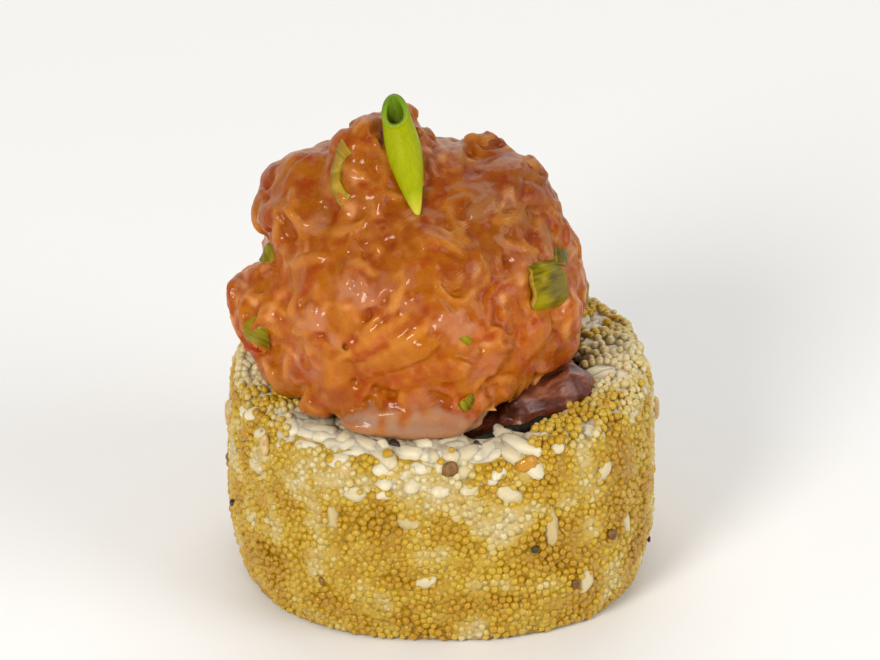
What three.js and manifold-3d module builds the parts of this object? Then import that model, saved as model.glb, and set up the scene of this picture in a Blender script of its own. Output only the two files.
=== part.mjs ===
// One piece of a spicy tuna roll, standing on its cut face.
//
// A short cylinder of sushi rice, rolled in fish roe, is wound round a sheet of nori that holds raw tuna.
// A ball of chopped tuna in spicy sauce sits on the upper cut face, and an oblique slice of scallion leaf
// leans back on the ball's peak.
//
// Units are millimetres, +Z is up, and the origin is the centre of the face that the piece stands on.
// +X is to the right and -Y is the front.

import * as THREE from 'three';
import { ImprovedNoise } from 'three/addons/math/ImprovedNoise.js';
import { mergeVertices } from 'three/addons/utils/BufferGeometryUtils.js';
import Module from 'manifold-3d';

const wasm = await Module();
wasm.setup();

// ---------------------------------------------------------------------------------------------------
// Driving dimensions
// ---------------------------------------------------------------------------------------------------

const UP = new THREE.Vector3(0, 0, 1);
const CLEARANCE = 0.3; // between pieces that lie against each other

// The roll: an eighth of a sheet of nori long, and pressed slightly square by the rolling mat.
const ROLL_HEIGHT = 22;
const ROLL_RADIUS = 22.2;
const ROLL_SQUARENESS = 2.35; // 2 is a true circle
const CORNER_PUSH = 0.035; // the right-hand front corner stands out by this share of the radius
const CORNER_ANGLE = THREE.MathUtils.degToRad(-38);
const CORNER_SHARPNESS = 8;
const CORE_SHIFT = new THREE.Vector2(-0.3, -2); // the nori sits nearer to the front
const ROUND_CORE = 12; // inside this radius the pressing leaves the roll perfectly round
const LOWER_TUCK = 1.8; // how far the wall draws in at its foot
const LOWER_TUCK_HEIGHT = 8;
const UPPER_TUCK = 1.3; // and at its rim
const UPPER_TUCK_HEIGHT = 4;
const ROLL_SEGMENTS = 72;

const COAT_THICKNESS = 1.2;
const COAT_FOOT = 0.3; // the roe stops just short of the plate
const COAT_RIM = 21.5; // and of the cut rim
const COAT_LUMP = 0.28;
const COAT_LUMP_SIZE = 2.6;

const RICE_LUMP = 0.35;
const RICE_LUMP_SIZE = 3.2;
const RICE_BORE_RIM = 20.6; // where the hole for the nori begins to round over
const RICE_TOP_RINGS = [0.97, 0.84, 0.5, 0.16]; // shares of the way from the hole to the rim

const NORI_RADIUS = 15; // inner face at the start of the sheet
const NORI_THICKNESS = 0.4;
const NORI_OVERLAP = THREE.MathUtils.degToRad(50);
const NORI_SEAM_ANGLE = THREE.MathUtils.degToRad(115);
const NORI_RIM = 21.6;
const NORI_STEP_ANGLE = THREE.MathUtils.degToRad(6);

const FILLING_RIM = 20.9;
const FILLING_CROWN = 21.7;
const FILLING_TOP_RINGS = [0.92, 0.7, 0.4, 0]; // shares of its radius

// The mound: lobes of chopped tuna, each an ellipsoid given by its centre and its half sizes.
const MOUND_FOOT = ROLL_HEIGHT + RICE_LUMP + CLEARANCE;
const MOUND_CENTRE = new THREE.Vector3(-2.2, -1.5, 31);
const MOUND_LOBES = {
  body: { centre: [-2.2, -1.5, 31.5], half: [16, 15.6, 13.2] },
  foot: { centre: [-4, -2, 25], half: [14.2, 14.8, 6.5] },
  peak: { centre: [-6.2, -1.6, 43.4], half: [6.2, 6.4, 7.5] },
  leftShoulder: { centre: [-12.5, -0.5, 39], half: [6, 7.5, 6.2] },
  rightShoulder: { centre: [4, 0, 40.4], half: [7.8, 8, 5.4] },
  leftLobe: { centre: [-17.6, -3.5, 31.3], half: [4.2, 5, 4.2] },
  frontLip: { centre: [-0.5, -13.6, 25.2], half: [8, 4.2, 3.4] },
  rightSkirt: { centre: [10, 0.3, 26], half: [4.4, 6.2, 5] },
  backLobe: { centre: [1, 11, 32], half: [8, 4.5, 6.5] },
};
const MOUND_DETAIL = 12; // subdivisions of the icosahedron that becomes the heap

const CHUNK_COUNT = 150;
const CHUNK_HALF_LENGTH = [2.6, 4.6]; // shortest and longest
const CHUNK_HALF_WIDTH = [1.6, 2.6];
const CHUNK_HALF_THICKNESS = [1, 1.6];
const CHUNK_DEPTH = 0.7; // how deep a chunk's middle lies under the lobes' surface, on average
const CHUNK_TILT = THREE.MathUtils.degToRad(28); // the steepest that a chunk lies against that surface
const SKIN_SINK = 0.6; // how far the sauce between the chunks lies below the lobes' surface

// The scallion slice: a hollow leaf cut off on the slant at both ends.
const SLICE_MIDDLE = new THREE.Vector3(-3.6, -5.6, 48.7);
const SLICE_LENGTH = 14; // from tip to tip along the leaf
const SLICE_RADIUS = 1.8;
const SLICE_WALL = 0.5;
const SLICE_UPPER_SLANT = THREE.MathUtils.degToRad(45); // between each cut and the leaf's axis
const SLICE_LOWER_SLANT = THREE.MathUtils.degToRad(20);
const SLICE_LEAN_BACK = THREE.MathUtils.degToRad(30); // of the leaf's axis from upright
const SLICE_LEAN_LEFT = THREE.MathUtils.degToRad(15);
const SLICE_SIDES = 24;

// ---------------------------------------------------------------------------------------------------
// Helpers for solids
// ---------------------------------------------------------------------------------------------------

const noise = new ImprovedNoise();

// Joins the vertices that faces share, so that the geometry is one closed skin.
function weld(geometry) {
  geometry.deleteAttribute('normal');
  geometry.deleteAttribute('uv');
  return mergeVertices(geometry, 1e-4);
}

function toSolid(geometry) {
  const welded = weld(geometry);
  const vertProperties = new Float32Array(welded.attributes.position.array);
  const triVerts = new Uint32Array(welded.index.array);
  return new wasm.Manifold(new wasm.Mesh({ numProp: 3, vertProperties, triVerts }));
}

function fromSolid(solid) {
  const { vertProperties, triVerts } = solid.getMesh();
  const geometry = new THREE.BufferGeometry();
  geometry.setAttribute('position', new THREE.BufferAttribute(new Float32Array(vertProperties), 3));
  geometry.setIndex(new THREE.BufferAttribute(new Uint32Array(triVerts), 1));
  geometry.computeVertexNormals();
  return geometry;
}

// Calls move(point) on every vertex and keeps what it did.
function shape(geometry, move) {
  const welded = weld(geometry);
  const position = welded.attributes.position;
  const point = new THREE.Vector3();
  for (let i = 0; i < position.count; i += 1) {
    point.fromBufferAttribute(position, i);
    move(point);
    position.setXYZ(i, point.x, point.y, point.z);
  }
  welded.computeVertexNormals();
  return welded;
}

// Revolves a closed profile of [radius, height] pairs about the Z axis.
function revolve(profile, segments) {
  const points = profile.map(([radius, height]) => new THREE.Vector2(radius, height));
  return new THREE.LatheGeometry(points, segments).rotateX(Math.PI / 2);
}

function named(name, geometry, material) {
  const mesh = new THREE.Mesh(geometry, material);
  mesh.name = name;
  return mesh;
}

// ---------------------------------------------------------------------------------------------------
// The pressed roll
// ---------------------------------------------------------------------------------------------------

// The pressed outline's radius at an angle, as a share of the nominal radius.
function outline(angle) {
  const cos = Math.abs(Math.cos(angle)) ** ROLL_SQUARENESS;
  const sin = Math.abs(Math.sin(angle)) ** ROLL_SQUARENESS;
  const corner = Math.cos(angle - CORNER_ANGLE);
  const push = corner > 0 ? CORNER_PUSH * corner ** CORNER_SHARPNESS : 0;
  return (cos + sin) ** (-1 / ROLL_SQUARENESS) + push;
}

// Takes a point of the perfectly round roll to its place in the pressed one. The outside takes the
// outline, and the core keeps its roundness but sits off the middle, so nested rings stay nested.
function press(point) {
  const radius = Math.hypot(point.x, point.y);
  const angle = Math.atan2(point.y, point.x);
  const outer = THREE.MathUtils.smoothstep(radius, ROUND_CORE, ROLL_RADIUS);
  const pressed = radius * (1 + outer * (outline(angle) - 1));
  point.x = pressed * Math.cos(angle) + (1 - outer) * CORE_SHIFT.x;
  point.y = pressed * Math.sin(angle) + (1 - outer) * CORE_SHIFT.y;
}

// How far the wall draws in towards the foot and the rim.
function tuck(height) {
  const low = Math.max(0, 1 - height / LOWER_TUCK_HEIGHT);
  const high = Math.max(0, 1 - (ROLL_HEIGHT - height) / UPPER_TUCK_HEIGHT);
  return LOWER_TUCK * low ** 2 + UPPER_TUCK * high ** 2;
}

const WALL_HEIGHTS = [COAT_FOOT, 1.4, 3.2, 6, 10, 14, 17.5, 19.8, COAT_RIM];

function wall(radius, heights) {
  return heights.map((height) => [radius - tuck(height), height]);
}

// ---------------------------------------------------------------------------------------------------
// The pieces
// ---------------------------------------------------------------------------------------------------

// The roe coat: a shell one or two eggs thick, lumpy outside.
function makeRoeCoat() {
  const outside = wall(ROLL_RADIUS, WALL_HEIGHTS);
  const inside = wall(ROLL_RADIUS - COAT_THICKNESS, WALL_HEIGHTS).reverse();
  const profile = [...outside, ...inside, outside[0]];
  const middle = ROLL_RADIUS - COAT_THICKNESS / 2;
  const geometry = shape(revolve(profile, ROLL_SEGMENTS), (point) => {
    const radius = Math.hypot(point.x, point.y);
    const outer = radius > middle - tuck(point.z);
    if (outer) {
      const spot = point.clone().divideScalar(COAT_LUMP_SIZE);
      const growth = 1 + COAT_LUMP * noise.noise(spot.x, spot.y, spot.z) / radius;
      point.x *= growth;
      point.y *= growth;
    }
    press(point);
  });
  return named('roe_coat', geometry, roeMaterial());
}

// The rice: a thick ring between the nori and the roe, flat where the knife went through its foot and
// grainy on the upper cut face.
function makeRice() {
  const bore = NORI_RADIUS + 2 * NORI_THICKNESS + 2 * CLEARANCE;
  const rim = ROLL_RADIUS - COAT_THICKNESS - CLEARANCE;
  const side = wall(rim, [0, ...WALL_HEIGHTS.slice(1)]);
  const top = RICE_TOP_RINGS.map((share) => [bore + share * (rim - UPPER_TUCK - bore), ROLL_HEIGHT]);
  const hole = [RICE_BORE_RIM, 0].map((height) => [bore, height]);
  const profile = [...side, ...top, ...hole, side[0]];
  const geometry = shape(revolve(profile, ROLL_SEGMENTS), (point) => {
    const onTop = point.z > ROLL_HEIGHT - RICE_LUMP;
    if (onTop) {
      const spot = point.clone().divideScalar(RICE_LUMP_SIZE);
      point.z += RICE_LUMP * noise.noise(spot.x, spot.y, spot.z);
    }
    press(point);
  });
  return named('rice', geometry, riceMaterial());
}

// The nori: one sheet wound round the filling, with its end lapped over its start.
function makeNori() {
  const pitch = NORI_THICKNESS + CLEARANCE;
  const turn = Math.PI * 2 + NORI_OVERLAP;
  const steps = Math.round(turn / NORI_STEP_ANGLE);
  const inner = [];
  const outer = [];
  for (let i = 0; i <= steps; i += 1) {
    const swept = turn * i / steps;
    const angle = NORI_SEAM_ANGLE + swept;
    const radius = NORI_RADIUS + pitch * swept / (Math.PI * 2);
    inner.push(new THREE.Vector2(radius * Math.cos(angle), radius * Math.sin(angle)));
    const outside = radius + NORI_THICKNESS;
    outer.push(new THREE.Vector2(outside * Math.cos(angle), outside * Math.sin(angle)));
  }
  const section = new THREE.Shape([...outer, ...inner.reverse()]);
  const sheet = new THREE.ExtrudeGeometry(section, { depth: NORI_RIM, steps: 1, bevelEnabled: false });
  return named('nori', shape(sheet, press), noriMaterial());
}

// The filling: raw tuna that fills the nori, slightly crowned where it was cut.
function makeFilling() {
  const radius = NORI_RADIUS - CLEARANCE;
  const profile = [[0, 0], [radius, 0], [radius, FILLING_RIM]];
  for (const share of FILLING_TOP_RINGS) {
    profile.push([radius * share, FILLING_CROWN - (FILLING_CROWN - FILLING_RIM) * share ** 3]);
  }
  return named('tuna_filling', shape(revolve(profile, ROLL_SEGMENTS / 2), press), tunaMaterial());
}

// How far the ray from a start along a direction goes before it leaves a turned ellipsoid, or 0.
function reach(start, direction, { centre, half, turn }) {
  const from = start.clone().sub(centre);
  const along = direction.clone();
  if (turn) {
    from.applyQuaternion(turn);
    along.applyQuaternion(turn);
  }
  from.divide(half);
  along.divide(half);
  const a = along.dot(along);
  const b = from.dot(along);
  const c = from.dot(from) - 1;
  const inside = b * b - a * c;
  return inside > 0 ? (Math.sqrt(inside) - b) / a : 0;
}

function furthest(direction, lumps) {
  return Math.max(...lumps.map((lump) => reach(MOUND_CENTRE, direction, lump)));
}

function makeLobes() {
  return Object.values(MOUND_LOBES).map(({ centre, half }) => ({
    centre: new THREE.Vector3(...centre),
    half: new THREE.Vector3(...half),
  }));
}

// Chunks of chopped tuna, spread evenly over the lobes and lying nearly flat against them.
function makeChunks(lobes) {
  const random = THREE.MathUtils.seededRandom;
  const goldenAngle = Math.PI * (3 - Math.sqrt(5));
  const between = ([low, high]) => THREE.MathUtils.lerp(low, high, random());
  random(8);
  const chunks = [];
  for (let i = 0; i < CHUNK_COUNT; i += 1) {
    const height = 1 - 2 * (i + 0.5) / CHUNK_COUNT;
    const ring = Math.sqrt(1 - height * height);
    const angle = i * goldenAngle;
    const direction = new THREE.Vector3(ring * Math.cos(angle), ring * Math.sin(angle), height);
    const depth = furthest(direction, lobes) - CHUNK_DEPTH * 2 * random();
    const tilt = new THREE.Euler(
      between([-CHUNK_TILT, CHUNK_TILT]), between([-CHUNK_TILT, CHUNK_TILT]), between([0, Math.PI]),
    );
    const toLocal = new THREE.Quaternion().setFromUnitVectors(direction, UP);
    chunks.push({
      centre: direction.clone().multiplyScalar(depth).add(MOUND_CENTRE),
      half: new THREE.Vector3(
        between(CHUNK_HALF_LENGTH), between(CHUNK_HALF_WIDTH), between(CHUNK_HALF_THICKNESS),
      ),
      turn: toLocal.premultiply(new THREE.Quaternion().setFromEuler(tilt)),
    });
  }
  return chunks;
}

// Everything below the heap's flat foot.
function makeFloor() {
  const size = 4 * ROLL_RADIUS;
  return toSolid(new THREE.BoxGeometry(size, size, size).translate(0, 0, MOUND_FOOT - size / 2));
}

// The mound: a heap of chopped tuna held together by sauce, out to the chunks that stand proud of it.
function makeMound() {
  const lobes = makeLobes();
  const chunks = makeChunks(lobes);
  const direction = new THREE.Vector3();
  const heap = shape(new THREE.IcosahedronGeometry(1, MOUND_DETAIL), (point) => {
    direction.copy(point).normalize();
    const distance = Math.max(furthest(direction, lobes) - SKIN_SINK, furthest(direction, chunks));
    point.copy(direction).multiplyScalar(distance).add(MOUND_CENTRE);
  });
  const solid = toSolid(heap).subtract(makeFloor()).subtract(makeSeat());
  return named('tartare_mound', fromSolid(solid), tartareMaterial());
}

// A block that lies wholly on the outer side of a slanted cut. The leaf's axis is local Z, the cut passes
// through a point of the leaf's wall given by its Y and Z, and side is -1 for the front, 1 for the back.
function makeCutter(side, slant, y, z) {
  const size = 3 * SLICE_LENGTH;
  const block = new THREE.BoxGeometry(size, size, 2 * size);
  block.translate(0, side * size / 2, 0);
  block.rotateX(-slant);
  return toSolid(block.translate(0, y, z));
}

// A leaf of scallion with its upper cut facing the front and its lower cut facing away, so that its top tip
// is at the back and its bottom tip at the front. Without a bore it is the space inside the outer skin.
function makeSlice(radius, bore, length) {
  const section = new THREE.Shape().absarc(0, 0, radius, 0, Math.PI * 2);
  if (bore) {
    section.holes.push(new THREE.Path().absarc(0, 0, bore, 0, Math.PI * 2, true));
  }
  const options = { depth: length, steps: 1, bevelEnabled: false, curveSegments: SLICE_SIDES / 2 };
  const leaf = toSolid(new THREE.ExtrudeGeometry(section, options).translate(0, 0, -length / 2));
  const upper = makeCutter(-1, SLICE_UPPER_SLANT, radius, length / 2);
  const lower = makeCutter(1, SLICE_LOWER_SLANT, -radius, -length / 2);
  const slice = fromSolid(leaf.subtract(upper).subtract(lower));
  slice.rotateX(-SLICE_LEAN_BACK);
  slice.rotateY(-SLICE_LEAN_LEFT);
  slice.translate(SLICE_MIDDLE.x, SLICE_MIDDLE.y, SLICE_MIDDLE.z);
  return toSolid(slice);
}

function makeScallion() {
  const slice = makeSlice(SLICE_RADIUS, SLICE_RADIUS - SLICE_WALL, SLICE_LENGTH);
  return named('scallion_slice', fromSolid(slice), scallionMaterial());
}

// The room that the slice presses into the heap. The cuts are so steep that the room has to be much
// longer than the slice to clear them.
function makeSeat() {
  return makeSlice(SLICE_RADIUS + CLEARANCE, 0, SLICE_LENGTH + 12 * CLEARANCE);
}

// ---------------------------------------------------------------------------------------------------
// Materials
// ---------------------------------------------------------------------------------------------------

function food(color, roughness) {
  return new THREE.MeshStandardMaterial({ color, roughness, metalness: 0 });
}

function riceMaterial() {
  return food(0xe2d9c8, 0.5);
}

function roeMaterial() {
  return food(0xc8a750, 0.4);
}

function noriMaterial() {
  return food(0x23201c, 0.7);
}

function tunaMaterial() {
  return food(0x704431, 0.3);
}

function tartareMaterial() {
  return food(0xbd6b32, 0.25);
}

function scallionMaterial() {
  return food(0x9cb020, 0.45);
}

// ---------------------------------------------------------------------------------------------------
// The whole piece, with its box centred on the Z axis
// ---------------------------------------------------------------------------------------------------

const piece = new THREE.Group();
piece.add(makeFilling(), makeNori(), makeRice(), makeRoeCoat(), makeMound(), makeScallion());

const middle = new THREE.Box3().setFromObject(piece).getCenter(new THREE.Vector3());
piece.position.set(-middle.x, -middle.y, 0);

export default piece;
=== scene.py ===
import math
import random

import bmesh
import bpy
import numpy as np
from mathutils import Euler, Matrix, Vector, noise
from mathutils.bvhtree import BVHTree
from mathutils.kdtree import KDTree


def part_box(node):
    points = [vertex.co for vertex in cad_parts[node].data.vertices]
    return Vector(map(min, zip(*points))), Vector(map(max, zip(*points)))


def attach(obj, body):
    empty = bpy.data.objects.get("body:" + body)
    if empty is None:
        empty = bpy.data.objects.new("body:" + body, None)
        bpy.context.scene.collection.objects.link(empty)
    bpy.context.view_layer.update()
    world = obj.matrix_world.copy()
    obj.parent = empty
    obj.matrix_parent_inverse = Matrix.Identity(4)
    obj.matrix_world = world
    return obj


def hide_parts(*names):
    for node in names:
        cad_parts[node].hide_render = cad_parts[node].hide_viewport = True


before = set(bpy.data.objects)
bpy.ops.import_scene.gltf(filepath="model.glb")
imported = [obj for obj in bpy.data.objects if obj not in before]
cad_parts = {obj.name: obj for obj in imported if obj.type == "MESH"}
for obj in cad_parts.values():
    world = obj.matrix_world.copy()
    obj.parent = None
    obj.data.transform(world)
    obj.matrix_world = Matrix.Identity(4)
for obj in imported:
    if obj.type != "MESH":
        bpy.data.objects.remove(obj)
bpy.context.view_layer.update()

# ---------------------------------------------------------------------------------------------------
# Tuna filling: a baton of raw red tuna that fills the nori from cut face to cut face. The knife left
# its top slightly crowned, and at the right-hand front a lump of it has squeezed up over the nori.
# Every section works in millimetres, and add_mesh() brings a finished piece to the frame's metres.
# ---------------------------------------------------------------------------------------------------

MM = 0.001
PLATE_GAP = 0.02  # nothing reaches below the cut face

FILLING_VOXEL = 0.45
LUMP_MIDDLE = Vector((10.3, -7.9, 22.1))
LUMP_HALF = (5.7, 5.1, 3.2)
LUMP_TAPER = 0.22  # it is slimmer towards the front left
LUMP_ROUNDING = 0.8  # from a box, 0, to a ball, 1
LUMP_TURN = math.radians(38)
LUMP_RELIEF = 0.75
LUMP_TORN = (21.8, 23.2)  # its strands come loose between these heights
FILLING_TOP = 19  # only what lies above this is smoothed
FILLING_RELIEF = 0.35
FILLING_UNEVEN = (17, 21)  # the cut top grows uneven between these heights


def cad_copy(node):
    """A welded copy of a CAD node in millimetres."""
    bm = bmesh.new()
    bm.from_mesh(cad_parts[node].data)
    bmesh.ops.scale(bm, vec=(1 / MM,) * 3, verts=bm.verts)
    bmesh.ops.remove_doubles(bm, verts=bm.verts, dist=0.001)
    return bm


def mesh_of(name, bm):
    """A finished shape as a mesh."""
    mesh = bpy.data.meshes.new(name)
    bm.to_mesh(mesh)
    bm.free()
    return mesh


def remeshed(bm, voxel):
    """The same closed shape in even faces about one voxel wide."""
    carrier = bpy.data.objects.new("before_remesh", mesh_of("before_remesh", bm))
    bpy.context.scene.collection.objects.link(carrier)
    modifier = carrier.modifiers.new("remesh", "REMESH")
    modifier.mode = "VOXEL"
    modifier.voxel_size = voxel
    depsgraph = bpy.context.evaluated_depsgraph_get()
    even = bpy.data.meshes.new_from_object(carrier.evaluated_get(depsgraph))
    bpy.data.objects.remove(carrier)
    result = bmesh.new()
    result.from_mesh(even)
    bpy.data.meshes.remove(even)
    result.normal_update()
    return result


def smooth(bm, rounds, above=-1.0):
    """Smooths all that lies above a height."""
    for _ in range(rounds):
        bmesh.ops.smooth_vert(bm, verts=[vert for vert in bm.verts if vert.co.z > above], factor=0.5,
                              use_axis_x=True, use_axis_y=True, use_axis_z=True)
    bm.normal_update()


def smoothstep(low, high, value):
    """0 below low, 1 above high, and a soft rise between them."""
    share = min(1.0, max(0.0, (value - low) / (high - low)))
    return share * share * (3 - 2 * share)


def add_mesh(name, mesh, materials, nodes=()):
    """Puts a finished mesh, still in millimetres, into the scene as a piece of the roll."""
    mesh.transform(Matrix.Scale(MM, 4))
    for material in materials:
        mesh.materials.append(material)
    mesh.shade_smooth()
    piece = bpy.data.objects.new(name, mesh)
    bpy.context.scene.collection.objects.link(piece)
    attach(piece, "root")
    if nodes:
        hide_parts(*nodes)
    return piece


def add_piece(name, bm, materials, nodes=()):
    return add_mesh(name, mesh_of(name, bm), materials, nodes)


def paint(red, green, blue):
    """A colour given by its display values, from 0 to 255, as linear light."""
    def linear(value):
        value /= 255
        return value / 12.92 if value <= 0.04045 else ((value + 0.055) / 1.055) ** 2.4
    return (linear(red), linear(green), linear(blue), 1.0)


def new_material(name, **sockets):
    """A Principled material with the given socket values, and its shader node."""
    material = bpy.data.materials.new(name)
    material.use_nodes = True
    shader = material.node_tree.nodes["Principled BSDF"]
    for socket, value in sockets.items():
        shader.inputs[socket.replace("_", " ")].default_value = value
    return material, shader


def add_node(material, kind, inputs=None, **settings):
    """Adds a node. An input is a value, or the socket that feeds it."""
    node = material.node_tree.nodes.new(kind)
    for setting, value in settings.items():
        setattr(node, setting, value)
    for socket, value in (inputs or {}).items():
        if isinstance(value, bpy.types.NodeSocket):
            material.node_tree.links.new(value, node.inputs[socket])
        else:
            node.inputs[socket].default_value = value
    return node


def feed(shader, name, socket):
    """Feeds one of a shader's inputs from another node."""
    shader.id_data.links.new(socket, shader.inputs[name])


def object_place(material):
    return add_node(material, "ShaderNodeTexCoord").outputs["Object"]


def speckle(material, size, detail=2.0, roughness=0.5, stretch=None, turn=0.0):
    """Noise whose features are about size millimetres across, on Object coordinates turned round Z."""
    place = object_place(material)
    if stretch:
        place = add_node(material, "ShaderNodeMapping", {
            "Vector": place, "Rotation": (0, 0, turn), "Scale": [1 / share for share in stretch],
        }, vector_type="TEXTURE").outputs["Vector"]
    return add_node(material, "ShaderNodeTexNoise", {
        "Vector": place, "Scale": 1 / (size * MM), "Detail": detail, "Roughness": roughness,
    }).outputs["Fac"]


def ramp(material, factor, *stops):
    """Colours or greys along a factor, each stop a position and a colour."""
    node = add_node(material, "ShaderNodeValToRGB", {"Fac": factor})
    elements = node.color_ramp.elements
    while len(elements) < len(stops):
        elements.new(0.5)
    for element, (position, colour) in zip(elements, stops):
        element.position = position
        element.color = colour if not isinstance(colour, (int, float)) else (colour,) * 3 + (1.0,)
    return node.outputs["Color"]


def mixed(material, factor, first, second, blend="MIX"):
    """Two colours mixed. Each is a colour, or the socket that feeds it."""
    node = add_node(material, "ShaderNodeMix", data_type="RGBA", blend_type=blend)
    for socket, value in ((node.inputs[0], factor), (node.inputs[6], first), (node.inputs[7], second)):
        if isinstance(value, bpy.types.NodeSocket):
            material.node_tree.links.new(value, socket)
        else:
            socket.default_value = value
    return node.outputs[2]


def maths(material, operation, first, second=0.0, clamp=False):
    return add_node(
        material, "ShaderNodeMath", {0: first, 1: second}, operation=operation, use_clamp=clamp,
    ).outputs[0]


def times(material, first, second, clamp=False):
    return maths(material, "MULTIPLY", first, second, clamp)


def summed(material, first, first_share, second, second_share):
    """Two factors added up, each times its share."""
    return maths(material, "ADD", times(material, first, first_share), times(material, second, second_share))


def attribute(material, name):
    return add_node(material, "ShaderNodeAttribute", attribute_name=name)


def bumped(material, shader, height, depth, strength=1.0):
    """Bump from a height between 0 and 1 that stands for depth millimetres."""
    bump = add_node(material, "ShaderNodeBump", {
        "Height": height, "Distance": depth * MM, "Strength": strength,
    })
    feed(shader, "Normal", bump.outputs["Normal"])


def raw_tuna():
    material, shader = new_material(
        "raw_tuna", Subsurface_Weight=0.15, Subsurface_Radius=(1.0, 0.3, 0.15),
        Subsurface_Scale=1.2 * MM, Coat_Weight=0.18, Coat_Roughness=0.2, Specular_IOR_Level=0.3,
    )
    grain = speckle(material, 1.4, 3.0, 0.6, stretch=(0.3, 1.0, 0.7), turn=LUMP_TURN)
    dark, red, lit = paint(68, 24, 12), paint(103, 49, 29), paint(152, 92, 62)
    feed(shader, "Base Color", ramp(material, grain, (0.34, dark), (0.53, red), (0.72, lit)))
    feed(shader, "Roughness", ramp(material, speckle(material, 0.8), (0.3, 0.22), (0.7, 0.42)))
    bumped(material, shader, grain, 0.35)
    return material


bm = cad_copy("tuna_filling")
lump = bmesh.ops.create_cube(bm, size=2)["verts"]
edges = list({edge for vert in lump for edge in vert.link_edges})
bmesh.ops.subdivide_edges(bm, edges=edges, cuts=7, use_grid_fill=True)
lump = [vert for vert in bm.verts if max(abs(value) for value in vert.co) < 1.01]
for vert in lump:
    vert.co = vert.co.lerp(vert.co.normalized(), LUMP_ROUNDING)
    vert.co.yz *= 1 - LUMP_TAPER * smoothstep(-0.9, 0.4, -vert.co.x)
bmesh.ops.scale(bm, vec=LUMP_HALF, verts=lump)
bmesh.ops.rotate(bm, verts=lump, cent=(0, 0, 0), matrix=Matrix.Rotation(LUMP_TURN, 3, "Z"))
bmesh.ops.translate(bm, verts=lump, vec=LUMP_MIDDLE)
bm = remeshed(bm, FILLING_VOXEL)
smooth(bm, 3, FILLING_TOP)
for vert in bm.verts:
    relief = smoothstep(*FILLING_UNEVEN, vert.co.z) * FILLING_RELIEF
    vert.co += vert.normal * relief * (noise.noise(vert.co / 1.7) + 0.9 * noise.noise(vert.co / 4))
    strands = Matrix.Rotation(-LUMP_TURN, 3, "Z") @ vert.co
    torn = noise.noise(Vector((strands.x / 4.5, strands.y / 1.6, strands.z / 1.6)))
    vert.co += vert.normal * LUMP_RELIEF * smoothstep(*LUMP_TORN, vert.co.z) * torn
    vert.co.z = max(vert.co.z, PLATE_GAP)
add_piece("filling_baton", bm, [raw_tuna()], ["tuna_filling"])

# ---------------------------------------------------------------------------------------------------
# Nori: one sheet of pressed, toasted seaweed wound round the filling, with its end lapped over its
# start. It is under half a millimetre thick, softened by the rice, and its cut edge is ragged.
# ---------------------------------------------------------------------------------------------------

NORI_ROWS = (6, 12, 16, 18, 19.5, 20.7)
NORI_RIM = 18.5  # the long edges above this are cut finer
NORI_LOOSE = (16, 21.6)  # it gives way more and more between these heights
NORI_RAGGED = 0.45  # how far its edge wanders up and down
NORI_WAVES = 0.008  # and in and out, as a share of its radius
# Where its edge stands higher or lower: angle in degrees, how far to either side that begins to fade and
# has faded, in radians, and by how much. It is highest beside the lump, and the rice closes over the last.
NORI_SWAYS = ((-62, 0, 0.6, 0.7), (-106, 0, 0.5, -1.0), (15, 0.3, 0.9, -1.2))


def angle_between(first, second):
    return abs((first - second + math.pi) % (2 * math.pi) - math.pi)


def nori_sheet():
    material, shader = new_material("nori_sheet", Roughness=0.6, Specular_IOR_Level=0.15)
    fibres = speckle(material, 0.9, 4.0, 0.65)
    dark, lit = paint(14, 13, 9), paint(42, 36, 22)
    feed(shader, "Base Color", ramp(material, fibres, (0.35, dark), (0.65, lit)))
    bumped(material, shader, fibres, 0.2)
    return material


bm = cad_copy("nori")
for height in NORI_ROWS:
    geometry = bm.verts[:] + bm.edges[:] + bm.faces[:]
    bmesh.ops.bisect_plane(bm, geom=geometry, plane_co=(0, 0, height), plane_no=(0, 0, 1))
long_edges = [edge for edge in bm.edges if min(vert.co.z for vert in edge.verts) > NORI_RIM
              and abs(edge.verts[0].co.z - edge.verts[1].co.z) < 0.01 and edge.calc_length() > 1]
bmesh.ops.subdivide_edges(bm, edges=long_edges, cuts=2)
for vert in bm.verts:
    weight = smoothstep(*NORI_LOOSE, vert.co.z)
    angle = math.atan2(vert.co.y, vert.co.x)
    sway = sum(rise * (1 - smoothstep(near, far, angle_between(angle, math.radians(degrees))))
               for degrees, near, far, rise in NORI_SWAYS)
    ragged = NORI_RAGGED * noise.noise(Vector((vert.co.x, vert.co.y, 0)) / 1.6)
    vert.co.z += weight * (sway + ragged)
    vert.co.xy *= 1 + weight * NORI_WAVES * noise.noise(Vector((vert.co.x, vert.co.y, 40)) / 2.5)
bmesh.ops.recalc_face_normals(bm, faces=bm.faces)
add_piece("nori_wrap", bm, [nori_sheet()], ["nori"])

# ---------------------------------------------------------------------------------------------------
# Rice: cooked short-grain sushi rice, pressed into a thick ring between the nori and the roe. A core
# stands for its packed inside, and separate grains cover every face of it that can show.
# ---------------------------------------------------------------------------------------------------

UP, DOWN = Vector((0, 0, 1)), Vector((0, 0, -1))

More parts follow.
